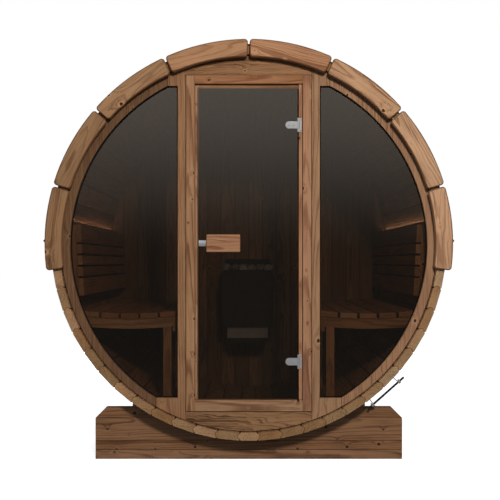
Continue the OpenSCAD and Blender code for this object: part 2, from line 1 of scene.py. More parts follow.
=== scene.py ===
"""Looks of the barrel sauna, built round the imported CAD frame.

Every wooden CAD node is replaced by its own boards with eased edges. Each board
carries its grain as a vector attribute in metres, so one solid-wood material
gives face grain, edge grain, end grain and knots that run through the board.
"""

import json
import math
import random

import bmesh
import bpy
from mathutils import Matrix, Vector, noise

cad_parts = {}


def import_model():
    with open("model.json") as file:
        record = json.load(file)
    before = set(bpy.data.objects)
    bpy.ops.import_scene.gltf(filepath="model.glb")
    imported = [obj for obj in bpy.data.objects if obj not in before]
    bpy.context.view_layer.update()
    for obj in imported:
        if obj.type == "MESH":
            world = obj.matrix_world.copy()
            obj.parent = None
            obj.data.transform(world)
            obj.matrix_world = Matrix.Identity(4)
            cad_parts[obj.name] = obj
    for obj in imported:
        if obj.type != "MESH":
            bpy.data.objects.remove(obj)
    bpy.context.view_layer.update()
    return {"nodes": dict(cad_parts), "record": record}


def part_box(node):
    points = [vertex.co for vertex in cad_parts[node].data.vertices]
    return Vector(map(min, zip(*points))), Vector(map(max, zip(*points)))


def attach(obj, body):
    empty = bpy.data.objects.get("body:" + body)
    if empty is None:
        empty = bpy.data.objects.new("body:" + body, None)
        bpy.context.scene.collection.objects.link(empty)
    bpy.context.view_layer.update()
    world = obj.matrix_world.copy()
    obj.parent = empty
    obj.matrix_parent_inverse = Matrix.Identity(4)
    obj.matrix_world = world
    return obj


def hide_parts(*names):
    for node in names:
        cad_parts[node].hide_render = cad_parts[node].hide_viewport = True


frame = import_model()

NODES = frame["nodes"]
DOOR_NODES = set(frame["record"]["behaviour"]["bodies"]["door"])
SLOT_OF = {s["node"]: s["material_slot"] for s in frame["record"]["subparts"]}


def middle(node):
    low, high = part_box(node)
    return (low + high) / 2


AXIS_Z = middle("door_frame").z
FRONT_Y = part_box("front_fascia")[0].y
FASCIA_BACK_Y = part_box("front_fascia")[1].y
WALL_FRONT_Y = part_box("wall_header")[0].y

RIGHT = Vector((1, 0, 0))
INTO = Vector((0, 1, 0))
UP = Vector((0, 0, 1))

WELD = 1e-6  # corners this near are one corner
SLIVER = 0.0021  # edges of the end wall this short are closed
HAIR = 0.0002  # what lies on a face without touching it stands off by this much
FLAT = math.radians(0.4)  # faces that bend less than this become one
SHARP = math.radians(28)  # edges that bend more than this are eased
SMOOTH = math.radians(40)  # and edges that bend more than this stay crisp


# ---- node graphs ----


class Graph:
    """A material and short calls that add nodes to it."""

    def __init__(self, name):
        self.material = bpy.data.materials.new(name)
        self.material.use_nodes = True
        self.tree = self.material.node_tree
        self.tree.nodes.clear()
        self.out = self.tree.nodes.new("ShaderNodeOutputMaterial")

    def put(self, socket, value):
        if isinstance(value, bpy.types.NodeSocket):
            self.tree.links.new(value, socket)
        elif value is not None:
            socket.default_value = value

    def node(self, kind, sockets=None, **settings):
        made = self.tree.nodes.new("ShaderNode" + kind)
        for key, value in settings.items():
            setattr(made, key, value)
        for key, value in (sockets or {}).items():
            self.put(made.inputs[key], value)
        return made

    def math(self, operation, a, b=None, c=None, clamp=False):
        made = self.node("Math", operation=operation, use_clamp=clamp)
        for socket, value in zip(made.inputs, (a, b, c)):
            self.put(socket, value)
        return made.outputs[0]

    def vector(self, operation, a, b=None):
        made = self.node("VectorMath", operation=operation)
        self.put(made.inputs[0], a)
        self.put(made.inputs[1], b)
        return made.outputs[0]

    def combine(self, x, y, z=0.0):
        return self.node("CombineXYZ", {"X": x, "Y": y, "Z": z}).outputs[0]

    def split(self, vector):
        return self.node("SeparateXYZ", {"Vector": vector}).outputs

    def mix(self, factor, a, b, blend="MIX"):
        made = self.node("Mix", data_type="RGBA", blend_type=blend, clamp_factor=True)
        for key, value in ((0, factor), (6, a), (7, b)):
            self.put(made.inputs[key], value)
        return made.outputs[2]

    def ramp(self, factor, stops, interpolation="EASE"):
        made = self.node("ValToRGB", {"Fac": factor})
        ramp = made.color_ramp
        ramp.interpolation = interpolation
        while len(ramp.elements) < len(stops):
            ramp.elements.new(0.5)
        for element, (place, level) in zip(ramp.elements, stops):
            element.position = place
            colour = level if isinstance(level, tuple) else (level, level, level)
            element.color = (*colour, 1)
        return made.outputs[0]

    def span(self, value, low, high, to_low=0.0, to_high=1.0):
        """value taken from low..high to to_low..to_high, smoothly and clamped."""
        made = self.node("MapRange", interpolation_type="SMOOTHSTEP")
        for key, given in zip(("Value", "From Min", "From Max", "To Min", "To Max"),
                              (value, low, high, to_low, to_high)):
            self.put(made.inputs[key], given)
        return made.outputs[0]

    def noise(self, vector, scale, detail=3.0, rough=0.5):
        made = self.node("TexNoise", {"Vector": vector, "Scale": scale,
                                      "Detail": detail, "Roughness": rough})
        return made.outputs[0]

    def attribute(self, name):
        return self.node("Attribute", attribute_name=name)

    def place(self):
        """The surface point in the object's own metres."""
        return self.node("TexCoord").outputs["Object"]

    def bump(self, height, depth, strength=1.0):
        made = self.node("Bump", {"Height": height, "Distance": depth, "Strength": strength})
        return made.outputs[0]

    def finish(self, sockets):
        shader = self.node("BsdfPrincipled", sockets)
        self.tree.links.new(shader.outputs[0], self.out.inputs[0])
        return self.material


def grey(level):
    return (level, level, level, 1)


# ---- wood ----


def knot_field(g, x, y, chance, size, cell_size):
    """Distance to the nearest knot's middle, and that knot's radius (0 where the
    cell has none), both in metres. Knots run through the board's thickness."""
    run, across = cell_size
    cell = g.combine(g.math("DIVIDE", x, run), g.math("DIVIDE", y, across))
    cells = g.node("TexVoronoi", {"Vector": cell, "Scale": 1.0, "Randomness": 0.85},
                   voronoi_dimensions="2D")
    off = g.split(g.vector("SUBTRACT", cell, cells.outputs["Position"]))
    dx = g.math("MULTIPLY", off[0], run * 0.8)
    dy = g.math("MULTIPLY", off[1], across)
    wobble = g.noise(g.combine(x, y), 160.0, 2.0)
    distance = g.math("SQRT", g.math("ADD", g.math("MULTIPLY", dx, dx),
                                     g.math("MULTIPLY", dy, dy)))
    distance = g.math("MULTIPLY", distance, g.span(wobble, 0.2, 0.8, 0.8, 1.2))
    luck = g.node("SeparateColor", {"Color": cells.outputs["Color"]}).outputs
    there = g.math("LESS_THAN", luck[0], chance)
    radius = g.math("MULTIPLY", g.span(luck[1], 0.0, 1.0, 0.35 * size, size), there)
    return distance, radius


def growth_rings(g, x, y, z, bulge, gap, wave):
    """0 in the pale early wood to 1 in the dark late wood."""
    flow = g.combine(g.math("MULTIPLY", x, 0.22), y, z)
    sway = g.math("MULTIPLY", g.math("SUBTRACT", g.noise(flow, 7.0, 2.0), 0.5), 0.046 * wave)
    ripple = g.math("MULTIPLY", g.math("SUBTRACT", g.noise(flow, 42.0, 2.0), 0.5), 0.01 * wave)
    radius = g.math("SQRT", g.math("ADD", g.math("MULTIPLY", y, y), g.math("MULTIPLY", z, z)))
    radius = g.math("ADD", radius, g.math("MULTIPLY", x, 0.022))
    radius = g.math("ADD", radius, g.math("ADD", sway, ripple))
    radius = g.math("SUBTRACT", radius, bulge)
    years = g.noise(g.combine(radius, 0.0), 55.0, 2.0)
    phase = g.math("ADD", g.math("DIVIDE", radius, gap), g.math("MULTIPLY", years, 3.2))
    ring = g.ramp(g.math("FRACT", phase),
                  [(0.0, 0.04), (0.5, 0.22), (0.84, 1.0), (0.93, 0.7), (1.0, 0.04)])
    strength = g.span(g.noise(g.combine(radius, 7.0), 26.0, 1.0), 0.25, 0.75, 0.5, 1.0)
    return g.math("MULTIPLY", ring, strength)


def wood(name, light, dark, end, edge, gap=0.0062, chance=0.4, knot=0.009,
         cell_size=(0.3, 0.11), spread=0.34, contrast=0.95, rough=0.56, edge_shading=0.8, wave=1.0,
         swirl=4.2):
    """Solid wood from the grain, board, end and edge attributes of the boards. gap is
    a year's growth, knot the largest knot's radius, and chance a cell's odds of one."""
    g = Graph(name)
    halo_wood = (*[min(1.0, 1.3 * level) for level in light], 1)
    light, dark, end, edge = ((*colour, 1) for colour in (light, dark, end, edge))
    grain = g.attribute("grain").outputs["Vector"]
    board = g.split(g.attribute("board").outputs["Vector"])
    x, y, z = g.split(grain)[:3]

    distance, radius = knot_field(g, x, y, chance, knot, cell_size)
    reach = g.math("ADD", g.math("MULTIPLY", radius, swirl), 1e-5)
    fall = g.math("DIVIDE", distance, reach)
    fall = g.math("EXPONENT", g.math("MULTIPLY", g.math("MULTIPLY", fall, fall), -1.0))
    bulge = g.math("MULTIPLY", fall, g.math("MULTIPLY", radius, 0.6 * swirl))
    ring = growth_rings(g, x, y, z, bulge, gap, wave)

    stretched = g.combine(g.math("MULTIPLY", x, 0.02), y, z)
    fibre = g.noise(stretched, 900.0, 3.0, 0.6)
    streak = g.noise(g.combine(g.math("MULTIPLY", x, 0.035), y, z), 130.0, 3.0, 0.6)
    patch = g.noise(g.combine(g.math("MULTIPLY", x, 0.35), y, z), 9.0, 3.0)

    late = g.math("MULTIPLY", ring, contrast)
    late = g.math("ADD", late, g.span(streak, 0.35, 0.85, -0.12, 0.42))
    late = g.math("ADD", late, g.span(patch, 0.3, 0.7, -0.14, 0.22), clamp=True)
    face = g.mix(late, light, dark)
    grainy = g.span(fibre, 0.25, 0.8, 1.1, 0.8)
    face = g.mix(1.0, face, g.combine(grainy, grainy, grainy), "MULTIPLY")

    pores = g.span(g.noise(g.combine(0.0, y, z), 190.0, 3.0, 0.65), 0.35, 0.65, -0.35, 0.45)
    end_late = g.math("ADD", g.math("MULTIPLY", ring, 0.6),
                      g.math("ADD", pores, g.span(patch, 0.3, 0.7, -0.05, 0.4)), clamp=True)
    end_face = g.mix(end_late, end, g.mix(0.7, end, dark))
    face = g.mix(g.attribute("end").outputs["Fac"], face, end_face)

    # The board's tone sets value and saturation. Where tone_of set that tone from the board's place,
    # it is painted light and shade.
    tint = g.node("HueSaturation", {
        "Color": face,
        "Hue": g.span(board[1], 0.0, 1.0, 0.494, 0.503),
        "Saturation": g.math("MULTIPLY", g.span(board[1], 0.0, 1.0, 1.03, 0.95),
                             g.span(board[0], 0.0, 1.0, 1.05, 0.94)),
        "Value": g.span(board[0], 0.0, 1.0, 1.0 - spread / 2, 1.0 + spread / 2)})
    colour = tint.outputs[0]
    # The eased edges are painted in the wood's edge colour: a painted highlight where that colour is
    # paler than the face, painted shade where it is darker. On the staves the same colour paints
    # shade into the joint notches.
    edge_shading_fac = g.math("MULTIPLY", g.attribute("edge").outputs["Fac"], edge_shading)
    colour = g.mix(edge_shading_fac, colour, edge)

    halo = g.math("MULTIPLY", g.span(g.math("DIVIDE", distance, reach), 0.22, 0.6, 0.6, 0.0),
                  g.math("GREATER_THAN", radius, 1e-4))
    colour = g.mix(halo, colour, halo_wood)
    inside = g.math("DIVIDE", distance, g.math("ADD", radius, 1e-5))
    core = g.math("MULTIPLY", g.span(inside, 0.72, 1.02, 1.0, 0.0),
                  g.math("GREATER_THAN", radius, 1e-4))
    heart = g.mix(g.span(inside, 0.1, 0.9), (0.045, 0.02, 0.011, 1), (0.018, 0.009, 0.006, 1))
    colour = g.mix(core, colour, heart)

    height = g.math("ADD", g.math("MULTIPLY", ring, 0.5), g.math("MULTIPLY", fibre, 0.7))
    height = g.math("SUBTRACT", height, g.math("MULTIPLY", core, 0.6))
    return g.finish({
        "Base Color": colour,
        "Roughness": g.span(ring, 0.0, 1.0, rough + 0.06, rough - 0.08),
        "Normal": g.bump(height, 0.0006, 0.55),
        "Specular IOR Level": 0.35})


# ---- other materials ----


def steel(name, colour, rough=0.3, stretch=(1, 1, 40)):
    g = Graph(name)
    place = g.place()
    brushed = g.noise(g.vector("MULTIPLY", place, stretch), 160.0, 4.0, 0.65)
    smudge = g.noise(place, 22.0, 3.0)
    shade = g.mix(g.span(smudge, 0.35, 0.7, 0.0, 0.35), (*colour, 1),
                  (*[c * 0.72 for c in colour], 1))
    roughness = g.math("ADD", g.span(brushed, 0.2, 0.8, rough - 0.09, rough + 0.1),
                       g.span(smudge, 0.4, 0.7, 0.0, 0.08))
    return g.finish({"Base Color": shade, "Metallic": 0.65, "Roughness": roughness,
                     "Normal": g.bump(brushed, 0.0001, 0.35)})


def painted_sheet(name, level, rough=0.42):
    """Powder-coated sheet with a fine orange peel and a little dust."""
    g = Graph(name)
    place = g.place()
    peel = g.noise(place, 900.0, 2.0)
    dust = g.noise(place, 14.0, 5.0, 0.65)
    speck = g.noise(place, 420.0, 2.0)
    colour = g.mix(g.span(dust, 0.45, 0.8, 0.0, 0.3), grey(level), (0.09, 0.08, 0.07, 1))
    colour = g.mix(g.span(speck, 0.62, 0.75, 0.0, 0.25), colour, grey(level * 2.4))
    return g.finish({"Base Color": colour,
                     "Roughness": g.span(dust, 0.3, 0.8, rough - 0.06, rough + 0.2),
                     "Normal": g.bump(peel, 0.0002, 0.4)})


def mineral_felt(name):
    """Roofing felt with slate granules pressed into bitumen."""
    g = Graph(name)
    place = g.place()
    chips = g.node("TexVoronoi", {"Vector": place, "Scale": 620.0, "Randomness": 1.0})
    luck = g.node("SeparateColor", {"Color": chips.outputs["Color"]}).outputs
    slate = g.ramp(luck[0], [(0.0, (0.012, 0.012, 0.013)), (0.45, (0.03, 0.03, 0.033)),
                             (0.75, (0.055, 0.056, 0.06)), (1.0, (0.13, 0.13, 0.135))], "LINEAR")
    wash = g.noise(place, 4.0, 5.0, 0.6)
    colour = g.mix(g.span(wash, 0.4, 0.75, 0.0, 0.45), slate, (0.075, 0.072, 0.066, 1))
    relief = g.math("ADD", g.math("MULTIPLY", luck[1], 0.6),
                    g.math("MULTIPLY", chips.outputs["Distance"], -0.7))
    return g.finish({"Base Color": colour, "Roughness": g.span(wash, 0.3, 0.7, 0.82, 0.97),
                     "Normal": g.bump(relief, 0.0012, 0.8)})


def rock(name):
    g = Graph(name)
    place = g.place()
    tone = g.split(g.attribute("board").outputs["Vector"])[0]
    mottle = g.noise(place, 70.0, 6.0, 0.7)
    flecks = g.node("TexVoronoi", {"Vector": place, "Scale": 330.0})
    base = g.ramp(g.math("ADD", g.math("MULTIPLY", mottle, 0.6), g.math("MULTIPLY", tone, 0.4)),
                  [(0.25, (0.06, 0.06, 0.058)), (0.5, (0.15, 0.148, 0.14)),
                   (0.75, (0.32, 0.31, 0.29))])
    fleck = g.span(g.node("SeparateColor", {"Color": flecks.outputs["Color"]}).outputs[0],
                   0.86, 0.95, 0.0, 0.7)
    colour = g.mix(fleck, base, (0.5, 0.49, 0.46, 1))
    height = g.math("ADD", mottle, g.math("MULTIPLY", flecks.outputs["Distance"], 0.4))
    return g.finish({"Base Color": colour, "Roughness": g.span(mottle, 0.2, 0.8, 0.72, 0.95),
                     "Normal": g.bump(height, 0.002, 0.7)})


def rubber(name):
    g = Graph(name)
    place = g.place()
    bloom = g.noise(place, 60.0, 4.0)
    colour = g.mix(g.span(bloom, 0.4, 0.8, 0.0, 0.5), grey(0.003), grey(0.01))
    return g.finish({"Base Color": colour, "Roughness": g.span(bloom, 0.3, 0.7, 0.6, 0.8),
                     "Normal": g.bump(bloom, 0.0002, 0.3), "Specular IOR Level": 0.15})


def diffuser(name):
    """The milky cover of a warm light strip, a little brighter over each diode."""
    g = Graph(name)
    diode_gap = 0.0167
    along = g.split(g.place())[1]
    beat = g.math("SINE", g.math("MULTIPLY", along, 2 * math.pi / diode_gap))
    glow = g.mix(g.span(beat, -1.0, 1.0), (0.8, 0.62, 0.45, 1), (1, 0.8, 0.6, 1))
    return g.finish({"Base Color": (0.8, 0.78, 0.72, 1), "Roughness": 0.4,
                     "Emission Color": glow, "Emission Strength": 9.0})


def bronze_glass(name, tint, straight=0.13):
    """Thin tinted glass: what is behind shows straight through, and its outer faces
    mirror a share that grows towards grazing. A faint film keeps it from being flat."""
    g = Graph(name)
    film = g.noise(g.place(), 3.0, 4.0, 0.6)
    clear = g.node("BsdfTransparent", {"Color": g.mix(g.span(film, 0.3, 0.7, 0.0, 0.12),
                                                      (*tint, 1), grey(0.5))})
    mirror = g.node("BsdfGlossy", {"Color": (1, 0.88, 0.74, 1),
                                   "Roughness": g.span(film, 0.3, 0.7, 0.015, 0.04)})
    grazing = g.math("POWER", g.node("LayerWeight", {"Blend": 0.5}).outputs["Facing"], 5.0)
    share = g.math("ADD", g.math("MULTIPLY", grazing, 1 - straight), straight)
    outside = g.math("SUBTRACT", 1.0, g.node("NewGeometry").outputs["Backfacing"])
    mixed = g.node("MixShader", {0: g.math("MULTIPLY", share, outside), 1: clear.outputs[0],
                                 2: mirror.outputs[0]})
    g.tree.links.new(mixed.outputs[0], g.out.inputs[0])
    return g.material


# edge is the colour painted on each wood's eased edges: a painted highlight where it is paler than
# the face, painted shade where it is darker.
WOODS = {
    "stave_wood": dict(light=(0.33, 0.178, 0.086), dark=(0.09, 0.04, 0.018),
                       end=(0.37, 0.215, 0.1), edge=(0.1, 0.042, 0.017),
                       gap=0.009, spread=0.36),
    "wall_wood": dict(light=(0.34, 0.192, 0.097), dark=(0.085, 0.038, 0.017),
                      end=(0.2, 0.11, 0.05), edge=(0.25, 0.125, 0.053),
                      gap=0.0075, spread=0.3, wave=2.2),
    "post_wood": dict(light=(0.32, 0.181, 0.093), dark=(0.13, 0.062, 0.029),
                      end=(0.2, 0.11, 0.05), edge=(0.25, 0.125, 0.053),
                      gap=0.01, spread=0.3, contrast=0.85, wave=0.8),
    "back_wood": dict(light=(0.2, 0.115, 0.06), dark=(0.07, 0.034, 0.017),
                      end=(0.15, 0.08, 0.04), edge=(0.06, 0.03, 0.014),
                      gap=0.009, chance=0.6, spread=0.5),
    "fascia_wood": dict(light=(0.4, 0.218, 0.11), dark=(0.165, 0.072, 0.03),
                        end=(0.2, 0.1, 0.045), edge=(0.12, 0.048, 0.018),
                        gap=0.011, chance=0.8, spread=0.56),
    "frame_wood": dict(light=(0.36, 0.195, 0.1), dark=(0.16, 0.066, 0.029),
                       end=(0.25, 0.12, 0.05), edge=(0.3, 0.14, 0.062),
                       gap=0.009, chance=0.5, knot=0.007, cell_size=(0.13, 0.055),
                       spread=0.12, wave=0.4, swirl=2.6),
    "handle_wood": dict(light=(0.36, 0.195, 0.1), dark=(0.16, 0.066, 0.029),
                        end=(0.25, 0.12, 0.05), edge=(0.2, 0.09, 0.04),
                        gap=0.008, chance=0.0, spread=0.1, wave=0.7),
    "cradle_wood": dict(light=(0.295, 0.163, 0.084), dark=(0.11, 0.052, 0.025),
                        end=(0.16, 0.08, 0.036), edge=(0.07, 0.028, 0.011),
                        gap=0.01, chance=0.9, knot=0.009, cell_size=(0.24, 0.08),
                        spread=0.3, wave=0.45, swirl=2.4, edge_shading=0.9),
    "bench_wood": dict(light=(0.36, 0.19, 0.092), dark=(0.15, 0.066, 0.028),
                       end=(0.34, 0.18, 0.088), edge=(0.35, 0.17, 0.075),
                       gap=0.009, chance=0.35, spread=0.3, wave=0.6),
}

MATERIALS = {name: wood(name, **looks) for name, looks in WOODS.items()}
MATERIALS.update({
    "light_strip": diffuser("light_strip"),
    "roof_felt": mineral_felt("roof_felt"),
    "black_sheet": painted_sheet("black_sheet", 0.012),
    "smoked_glass": bronze_glass("smoked_glass", (0.7, 0.65, 0.6)),
    "steel": steel("steel", (0.66, 0.66, 0.67)),
    "black_rod": painted_sheet("black_rod", 0.01, 0.5),
    "heater_metal": painted_sheet("heater_metal", 0.016, 0.5),
    "heater_bright": steel("heater_bright", (0.5, 0.49, 0.47), 0.42, (60, 1, 1)),
    "stones": rock("stones"),
    # Black rubber for the glass seals and for the strips that paint shade in joints.
    "seal": rubber("seal"),
})


# ---- pieces ----


def body_of(node):
    return "door" if node in DOOR_NODES else "root"


def add_piece(name, mesh, material, body, replaces=()):
    piece = bpy.data.objects.new(name, mesh)
    bpy.context.scene.collection.objects.link(piece)
    mesh.materials.clear()
    mesh.materials.append(MATERIALS[material])
    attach(piece, body)
    if replaces:
        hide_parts(*replaces)
    return piece


def smooth(mesh):
    for face in mesh.polygons:
        face.use_smooth = True
    mesh.set_sharp_from_angle(angle=SMOOTH)


def mesh_of(bm, name):
    """A smooth-shaded mesh from a bmesh, which is let go."""
    mesh = bpy.data.meshes.new(name)
    bm.to_mesh(mesh)
    bm.free()
    smooth(mesh)
    return mesh


def mesh_from(name, verts, faces):
    mesh = bpy.data.meshes.new(name)
    mesh.from_pydata([tuple(v) for v in verts], [], faces)
    mesh.update()
    return mesh


def bmesh_from(verts, faces):
    """A closed bmesh from points and faces, with its normals turned outward."""
    mesh = mesh_from("draft", verts, faces)
    bm = bmesh.new()
    bm.from_mesh(mesh)
    bmesh.ops.recalc_face_normals(bm, faces=bm.faces)
    bpy.data.meshes.remove(mesh)
    return bm


def skin(rows, count, ring=False):
    """Quads between rows of so many points. The last row meets the first in a ring,
    and otherwise a face closes either end."""
    faces = [(i * count + k, i * count + (k + 1) % count,
              (i + 1) % rows * count + (k + 1) % count, (i + 1) % rows * count + k)
             for i in range(rows if ring else rows - 1) for k in range(count)]
    if not ring:
        faces += [tuple(range(count))[::-1], tuple(range((rows - 1) * count, rows * count))]
    return faces


def flatten_shading(piece):
    """Normals weighted by face area, so that eased edges don't shade the flats."""
    weighted = piece.modifiers.new("shading", "WEIGHTED_NORMAL")
    weighted.keep_sharp = True
    weighted.weight = 90


def cad_copy(node):
    """A CAD node's mesh with its corners welded, its slivers closed and its
    triangles merged."""
    bm = bmesh.new()
    bm.from_mesh(NODES[node].data)
    bmesh.ops.remove_doubles(bm, verts=bm.verts, dist=WELD)
    if node.startswith("wall_"):
        bmesh.ops.remove_doubles(bm, verts=bm.verts, dist=SLIVER)
    bmesh.ops.dissolve_limit(bm, angle_limit=FLAT, verts=bm.verts, edges=bm.edges)
    return bm


def islands(bm):
    """The separate solids of a mesh, as lists of vertices, in a fixed order."""
    left = set(bm.verts)
    found = []
    for seed in bm.verts:
        if seed not in left:
            continue
        left.discard(seed)
        group, queue = [seed], [seed]
        while queue:
            for edge in queue.pop().link_edges:
                for vert in edge.verts:
                    if vert in left:
                        left.discard(vert)
                        group.append(vert)
                        queue.append(vert)
        found.append(group)
    return found


def ease_edges(bm, width, segments=2, chosen=None):
    """Rounds the convex sharp edges and marks the new faces in the edge layer."""
    mark = bm.faces.layers.float.new("edge")
    edges = [e for e in bm.edges if e.is_manifold and e.is_convex
             and e.calc_face_angle(0.0) > SHARP and (chosen is None or chosen(e))]
    made = bmesh.ops.bevel(bm, geom=edges, offset=width, offset_type="OFFSET",
                           segments=segments, profile=0.5, affect="EDGES",
                           clamp_overlap=False)
    for face in made["faces"]:
        face[mark] = 1.0


def bounds_of(points):
    """The lowest and the highest corner of a set of points."""
    return [Vector([pick(p[k] for p in points) for k in range(3)]) for pick in (min, max)]


def box_axes(points):
    """Directions along, across and through a board that lies square."""
    low, high = bounds_of(points)
    order = sorted(range(3), key=lambda k: low[k] - high[k])
    axes = (RIGHT, INTO, UP)
    return axes[order[0]], axes[order[1]], axes[order[2]]


def outward(points):
    centre = sum(points, Vector()) / len(points)
    return Vector((centre.x, 0, centre.z - AXIS_Z)).normalized()


def stave_axes(points):
    radial = outward(points)
    return INTO, INTO.cross(radial), radial


def fascia_axes(points):
    radial = outward(points)
    return INTO.cross(radial), radial, INTO


def upright_axes(points):
    return UP, RIGHT, INTO


def lying_axes(points):
    return RIGHT, UP, INTO


def facing_axes(points):
    """A board of the door frame shows its flat face to the front."""
    low, high = bounds_of(points)
    return (RIGHT, UP, INTO) if high.x - low.x > high.z - low.z else (UP, RIGHT, INTO)


def lay_grain(bm, axes_of, draw, tone_of):
    """Gives each board its own place in a tree and tone, and marks its sawn ends."""
    grain = bm.verts.layers.float_vector.new("grain")
    board = bm.verts.layers.float_vector.new("board")
    end = bm.faces.layers.float.new("end")
    bm.normal_update()
    for group in islands(bm):
        points = [v.co for v in group]
        along, across, through = axes_of(points)
        centre = sum(points, Vector()) / len(points)
        width = max(abs((p - centre).dot(across)) for p in points)
        pith = Vector((draw.uniform(2, 40),
                       draw.uniform(-0.7, 0.7) * width,
                       draw.choice((-1, 1)) * draw.uniform(0.018, 0.085)))
        traits = Vector((draw.random(), draw.random(), draw.random()))
        # Where tone_of is given, it sets the board's tone from where the board stands: painted light
        # and shade across the fronts.
        if tone_of:
            traits.x = min(1.0, max(0.0, tone_of(centre) + 0.2 * (traits.x - 0.5)))
        faces = set()
        for vert in group:
            p = vert.co - centre
            vert[grain] = pith + Vector((p.dot(along), p.dot(across), p.dot(through)))
            vert[board] = traits
            faces.update(vert.link_faces)
        for face in faces:
            face[end] = 1.0 if abs(face.normal.dot(along)) > 0.8 else 0.0


def painted_light_from_right(centre):
    """Painted light: a board's tone grows paler the further right it stands, as if lit more from the
    right, and darker to the left.
    """
    return 0.5 + 0.48 * centre.x


def painted_shade_notches(bm):
    """Marks the chamfers inside the stave joints as edges, so that the dark stave edge colour paints
    shade into them.
    """
    mark = bm.faces.layers.float["edge"]
    bm.normal_update()
    steep, shallow, square = 0.3, 0.95, 0.1
    for face in bm.faces:
        lean = -face.normal.dot(outward([face.calc_center_median()]))
        if steep < lean < shallow and abs(face.normal.y) < square:
            face[mark] = 1.0


def stand_in(node, ending, bm, material=None):
    """A piece that takes a CAD node's place, in its slot's material or another one."""
    slot = SLOT_OF[node]
    mesh = mesh_of(bm, node + ending)
    flatten_shading(add_piece(node + ending, mesh, material or slot, body_of(node), [node]))


def timber(node, width, axes_of=box_axes, segments=2, chosen=None, tone_of=None,
           material=None, marked=None):
    """The boards of a wooden CAD node, with eased edges and their own grain."""
    bm = cad_copy(node)
    ease_edges(bm, width, segments, chosen)
    if marked:
        marked(bm)
    lay_grain(bm, axes_of, random.Random(node), tone_of)
    stand_in(node, "_wood", bm, material)


def at_stave_end(edge):
    return all(abs(v.co.y) > -FASCIA_BACK_Y - 1e-4 for v in edge.verts)


def barrel():
    for node in NODES:
        if node.startswith("staves_"):
            # The eased stave ends and the joint notches take the dark stave edge colour: painted
            # shade.
            timber(node, 0.0012, stave_axes, 2, at_stave_end, marked=painted_shade_notches)


def fascias():
    for node in ("front_fascia", "back_fascia"):
        # The fascia boards take a tone that is paler to the right: painted light.
        timber(node, 0.006, fascia_axes, 5, tone_of=painted_light_from_right)


def painted_shade_left_rim(centre):
    """Painted shade: the left rim gets a low tone, within its own range of tones, so that it looks
    shaded.
    """
    return 0.32


def end_walls():
    for node in ("wall_header", "wall_base"):
        timber(node, 0.0015, lying_axes)
    # The posts and the right rim take a tone that is paler to the right: painted light.
    for node in ("wall_post_left", "wall_post_right", "wall_rim_right"):
        timber(node, 0.002, upright_axes, tone_of=painted_light_from_right, material="post_wood")
    # The left rim takes the darker back wood and a low tone: painted shade.
    timber("wall_rim_left", 0.002, upright_axes, tone_of=painted_shade_left_rim, material="back_wood")
    for node in ("back_wall_left", "back_wall_middle", "back_wall_right"):
        timber(node, 0.0008, upright_axes, material="back_wood")


def door_wood():
    timber("door_frame", 0.002, facing_axes)
    timber("door_stops", 0.0015, facing_axes)
    timber("door_handle", 0.003, lying_axes, 4, material="handle_wood")


def supports():
    for node in ("cradle_front", "cradle_back"):
        timber(node, 0.0014, lying_axes)


def benches():
    for side in ("left", "right"):
        timber("bench_seat_" + side, 0.003, segments=3)
        timber("bench_frame_" + side, 0.0018)
        timber("backrest_" + side, 0.003, segments=3)
        light_rail(side)


def block(low, high, width, segments=3):
    """A box between two corners, with eased edges."""
    bm = bmesh.new()
    bmesh.ops.create_cube(bm, size=1.0)
    for vert in bm.verts:
        vert.co = Vector([(high[k] + low[k]) / 2 + (high[k] - low[k]) * vert.co[k]
                          for k in range(3)])
    bmesh.ops.recalc_face_normals(bm, faces=bm.faces)
    ease_edges(bm, width, segments)
    return bm


def light_rail(side):
    """A slim rail along the staves above a backrest, with a light strip on it."""
    way = -1 if side == "left" else 1
    rise, shelf_t, shelf_w, lip_t, lip_h = 0.1, 0.012, 0.026, 0.006, 0.009
    strip_w, strip_t, strip_gap, strip_inset = 0.009, 0.0025, 0.0005, 0.02
    end_gap = 0.004
    base = AXIS_Z + rise
    top = base + shelf_t
    wall_x = math.sqrt(stave_reach() ** 2 - (top - AXIS_Z) ** 2)
    inner_x = wall_x - shelf_w
    strip_x = inner_x + lip_t + strip_gap
    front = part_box("wall_header")[1].y + end_gap
    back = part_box("back_wall_middle")[0].y - end_gap

    def bar(near, far, low_z, high_z, width, segments=3, inset=0.0):
        x = sorted((way * near, way * far))
        return block((x[0], front + inset, low_z), (x[1], back - inset, high_z), width, segments)

    bm = bar(inner_x, wall_x, base, top, 0.0018)
    bm.from_mesh(mesh_of(bar(inner_x, inner_x + lip_t, top + HAIR, top + lip_h, 0.0015), "lip"))
    lay_grain(bm, box_axes, random.Random("rail_" + side), None)
    name = "light_rail_" + side
    flatten_shading(add_piece(name, mesh_of(bm, name), "bench_wood", "root"))
    bm = bar(strip_x, strip_x + strip_w, top + HAIR, top + HAIR + strip_t, 0.0006, 2, strip_inset)
    name = "light_strip_" + side
    add_piece(name, mesh_of(bm, name), "light_strip", "root")


# ---- plain CAD copies with eased edges ----


def eased(node, width, segments=2, keep=None):
    """A CAD node with eased edges and its record's finish."""
    bm = cad_copy(node)
    if keep:
        drop = [v for group in islands(bm) if not keep(group) for v in group]
        bmesh.ops.delete(bm, geom=drop, context="VERTS")
    ease_edges(bm, width, segments)
    stand_in(node, "_shape", bm)


def revolved(profile, turns=24):
    """Vertices and faces of a profile of (radius, height) turned about Z."""
    verts = [(r * math.cos(2 * math.pi * k / turns), r * math.sin(2 * math.pi * k / turns), h)
             for r, h in profile for k in range(turns)]
    return verts, skin(len(profile), turns)


def turned_to(direction, origin):
    """A matrix that takes Z to a direction and the origin to a point."""
    return Matrix.Translation(origin) @ direction.to_track_quat("Z", "Y").to_matrix().to_4x4()


